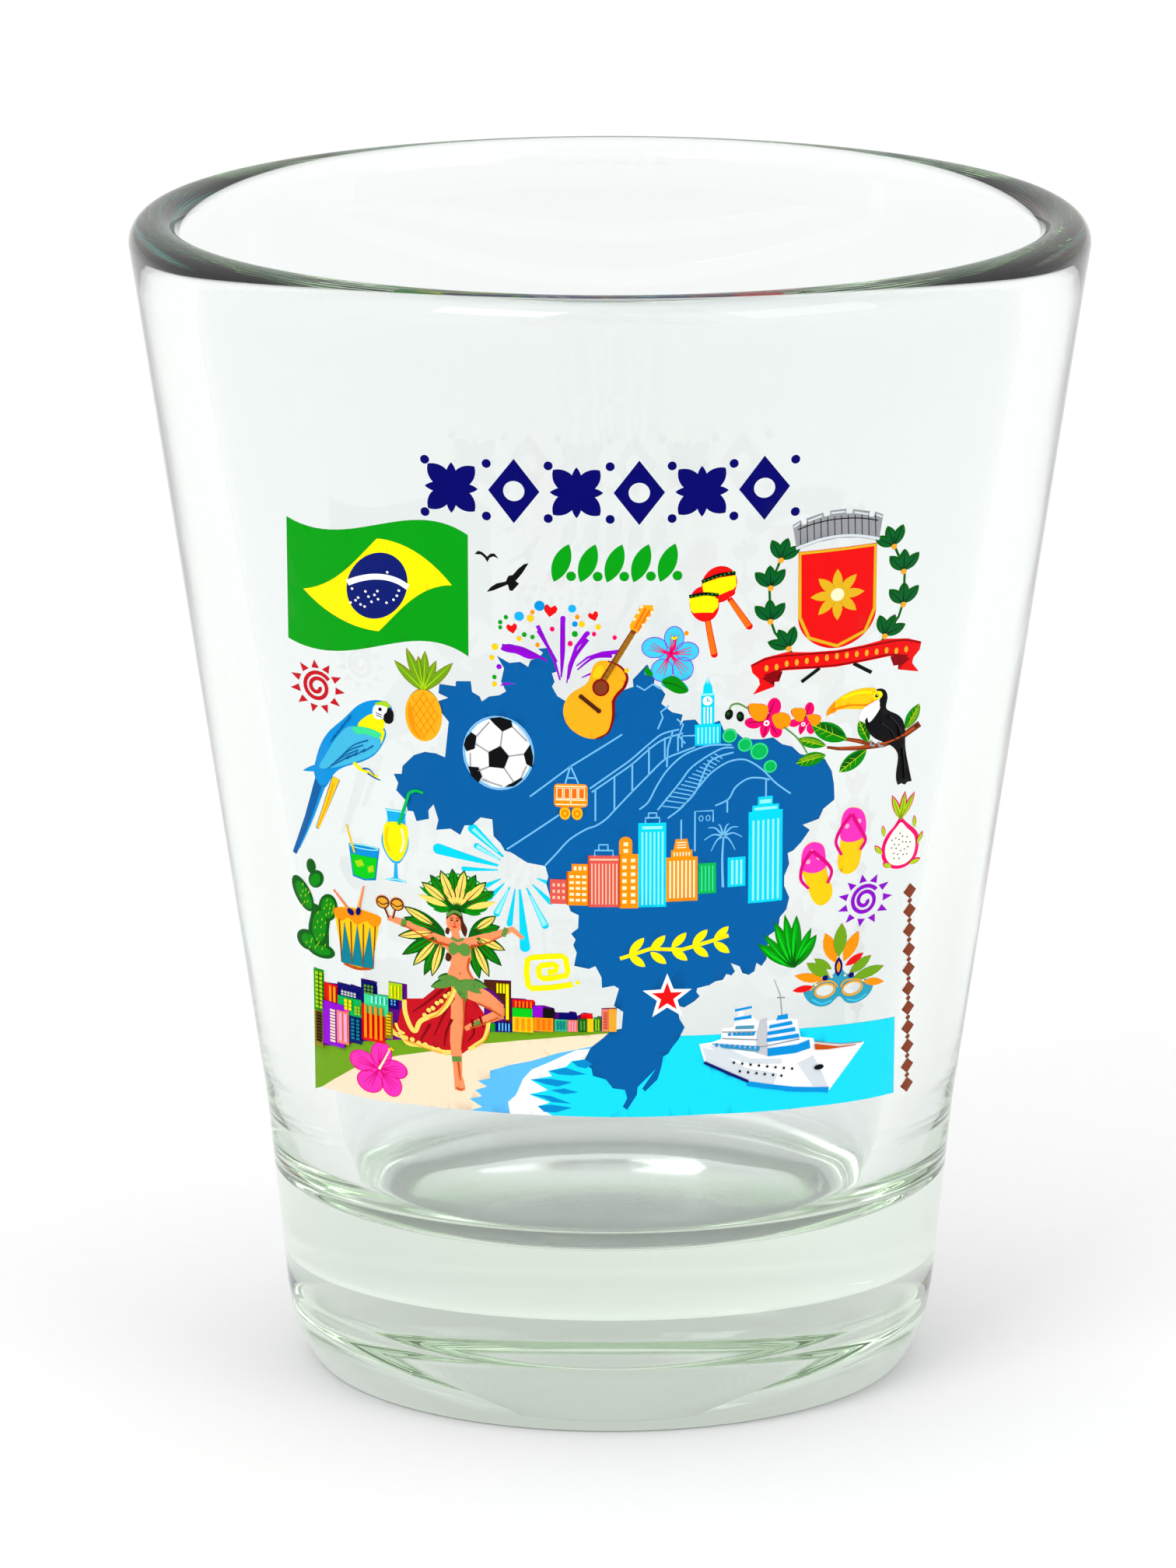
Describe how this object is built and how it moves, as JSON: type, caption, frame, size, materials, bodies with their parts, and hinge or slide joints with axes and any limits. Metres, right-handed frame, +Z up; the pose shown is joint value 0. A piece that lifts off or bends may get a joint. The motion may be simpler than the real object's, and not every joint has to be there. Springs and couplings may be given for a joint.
{
  "type": "shot glass",
  "caption": "Flared clear shot glass with a thick base and a fired multicolour beach and carnival picture on the front of its wall.",
  "frame": {"origin": "centre of the foot, on the plane the glass stands on", "axes": "+Z up along the glass's axis, the picture faces -Y, +X to the right of somebody who looks at the picture"},
  "size_m": [0.049, 0.049, 0.06],
  "materials": {
    "clear_glass": "clear pressed soda-lime glass, fire polished, faint grey green at its edges",
    "ink_white": "white fired enamel, satin gloss",
    "ink_black": "black fired enamel, satin gloss",
    "ink_grey": "grey fired enamel, satin gloss",
    "ink_navy": "navy fired enamel, satin gloss",
    "ink_map_blue": "deep blue fired enamel, satin gloss",
    "ink_blue": "bright blue fired enamel, satin gloss",
    "ink_surf_blue": "pale blue fired enamel, satin gloss",
    "ink_aqua": "aqua fired enamel, satin gloss",
    "ink_cyan": "cyan fired enamel, satin gloss",
    "ink_green": "green fired enamel, satin gloss",
    "ink_dark_green": "dark green fired enamel, satin gloss",
    "ink_lawn": "lawn green fired enamel, satin gloss",
    "ink_sand": "sand fired enamel, satin gloss",
    "ink_yellow": "yellow fired enamel, satin gloss",
    "ink_amber": "amber fired enamel, satin gloss",
    "ink_orange": "orange fired enamel, satin gloss",
    "ink_rust": "rust fired enamel, satin gloss",
    "ink_brown": "brown fired enamel, satin gloss",
    "ink_skin": "salmon fired enamel, satin gloss",
    "ink_red": "red fired enamel, satin gloss",
    "ink_pink": "pink fired enamel, satin gloss",
    "ink_magenta": "magenta fired enamel, satin gloss",
    "ink_violet": "violet fired enamel, satin gloss"
  },
  "bodies": {
    "root": {"glass_body": "clear_glass", "ray_burst": "ink_cyan", "sea": "ink_aqua", "foam": "ink_white", "surf": "ink_surf_blue", "beach": "ink_sand", "verge": "ink_lawn", "shore_towers": "ink_violet", "map_panel": "ink_map_blue", "firework_rays": "ink_violet", "confetti": "ink_red", "guitar_body": "ink_amber", "guitar_neck": "ink_rust", "hibiscus_blue": "ink_cyan", "hibiscus_pink": "ink_pink", "title_frieze": "ink_navy", "green_frieze": "ink_green", "yellow_sprig": "ink_yellow", "brown_border": "ink_brown", "flag_field": "ink_green", "flag_diamond": "ink_yellow", "flag_disc": "ink_navy", "birds": "ink_black", "maracas": "ink_red", "crest_crown": "ink_grey", "crest_shield": "ink_red", "crest_laurels": "ink_dark_green", "crest_ribbon": "ink_red", "sun_red": "ink_red", "sun_purple": "ink_violet", "square_spiral": "ink_yellow", "parrot_tail": "ink_map_blue", "parrot_body": "ink_blue", "pineapple": "ink_amber", "orchids": "ink_magenta", "branch": "ink_brown", "branch_leaves": "ink_green", "toucan_beak": "ink_amber", "toucan_body": "ink_black", "flip_flops": "ink_pink", "dragon_fruit": "ink_magenta", "tumbler_drink": "ink_blue", "tulip_drink": "ink_yellow", "cactus": "ink_green", "drum": "ink_amber", "agave": "ink_green", "mask_feathers": "ink_orange", "mask_face": "ink_blue", "dancer_feathers": "ink_dark_green", "dancer_skirt": "ink_red", "dancer_figure": "ink_skin", "football": "ink_white", "cable_car": "ink_orange", "clock_tower": "ink_cyan", "map_greens": "ink_green", "towers_warm": "ink_orange", "towers_cyan": "ink_cyan", "star_mark": "ink_white", "cruise_ship": "ink_white"}
  },
  "joints": []
}
